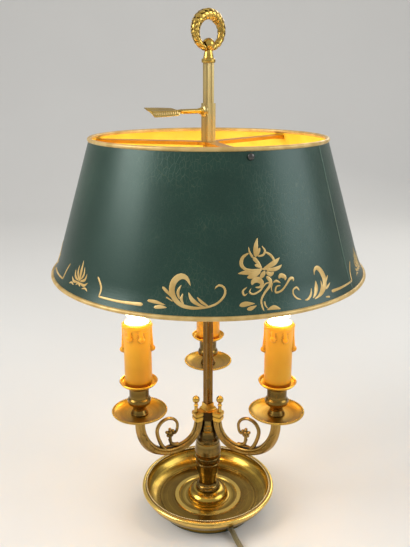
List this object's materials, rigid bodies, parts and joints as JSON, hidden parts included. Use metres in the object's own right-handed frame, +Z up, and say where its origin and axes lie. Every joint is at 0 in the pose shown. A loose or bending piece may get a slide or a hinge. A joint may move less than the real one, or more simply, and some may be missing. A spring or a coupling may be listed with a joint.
{
  "type": "table lamp",
  "caption": "Table lamp with a dish base, a turned column, scrolled arms with candle lights, and a painted cone shade that slides on a square stem under a ring finial.",
  "frame": {"origin": "on the table under the middle of the stem", "axes": "+Z up along the stem, -Y towards the front, +X to the right seen from the front"},
  "size_m": [0.3232, 0.3596, 0.545],
  "materials": {
    "felt": "matt",
    "iron": "rough casting",
    "polished_brass": "polished, clear lacquer",
    "aged_brass": "aged, rubbed bright on the edges",
    "plain_brass": "turned, not polished",
    "candle_plastic": "satin wax look",
    "holder_plastic": "satin",
    "bulb_cap_metal": "bright",
    "bulb_glass": "soft white, lit",
    "lead_sheath": "satin",
    "shade_paint": "satin enamel with painted gold ornament",
    "shade_gilt": "gold paint",
    "screw_steel": "bright",
    "cord_braid": "braided",
    "bush_rubber": "matt",
    "switch_plastic": "glossy",
    "plug_plastic": "satin",
    "tie_plastic": "satin",
    "pin_metal": "nickel plated"
  },
  "bodies": {
    "stand": {"base_felt": "felt", "base_weight": "iron", "base_dish": "polished_brass", "base_nut": "plain_brass", "centre_tube": "plain_brass", "boss_dome": "polished_brass", "column_collar": "aged_brass", "column_baluster": "aged_brass", "column_neck": "aged_brass", "hub_body": "aged_brass", "hub_cover": "aged_brass", "acorn_screws": "polished_brass", "rod_plinth": "aged_brass", "stem_rod": "aged_brass", "finial_base": "polished_brass", "finial_ring": "polished_brass", "arm_front_left": "aged_brass", "arm_front_right": "aged_brass", "arm_back": "aged_brass", "scroll_front_left": "aged_brass", "scroll_front_right": "aged_brass", "scroll_back": "aged_brass", "rosettes": "polished_brass", "bobeche_front_left": "polished_brass", "bobeche_front_right": "polished_brass", "bobeche_back": "polished_brass", "candle_cup_front_left": "aged_brass", "candle_cup_front_right": "aged_brass", "candle_cup_back": "aged_brass", "cup_nipples": "plain_brass", "candle_sleeve_front_left": "candle_plastic", "candle_sleeve_front_right": "candle_plastic", "candle_sleeve_back": "candle_plastic", "lampholder_front_left": "holder_plastic", "lampholder_front_right": "holder_plastic", "lampholder_back": "holder_plastic", "bulb_cap_front_left": "bulb_cap_metal", "bulb_cap_front_right": "bulb_cap_metal", "bulb_cap_back": "bulb_cap_metal", "bulb_glass_front_left": "bulb_glass", "bulb_glass_front_right": "bulb_glass", "bulb_glass_back": "bulb_glass", "wiring": "lead_sheath", "cord_bush": "bush_rubber", "cord_to_switch": "cord_braid", "cord_past_switch": "cord_braid", "cord_coil": "cord_braid", "coil_tie": "tie_plastic", "switch_base": "switch_plastic", "switch_lid": "switch_plastic", "plug_body": "plug_plastic", "plug_pins": "pin_metal"},
    "shade": {"shade_carrier": "aged_brass", "shade_spider": "polished_brass", "shade_cone": "shade_paint", "shade_top_rim": "shade_gilt", "shade_bottom_rim": "shade_gilt", "shade_screws": "screw_steel"},
    "arrow": {"arrow_screw": "polished_brass"},
    "rocker": {"switch_rocker": "switch_plastic"}
  },
  "joints": [
    {"name": "shade_slide", "type": "slide", "parent": "stand", "child": "shade", "axis": [0, 0, 1], "range_m": [-0.11, 0.03]},
    {"name": "arrow_turn", "type": "hinge", "parent": "shade", "child": "arrow", "pos_m": [0, 0, 0.4515], "axis": [-0.809, -0.5878, 0], "range_deg": [0, 180]},
    {"name": "switch_rock", "type": "hinge", "parent": "stand", "child": "rocker", "pos_m": [0.04, -0.185, 0.0144], "axis": [0, 1, 0], "range_deg": [0, 18]}
  ]
}
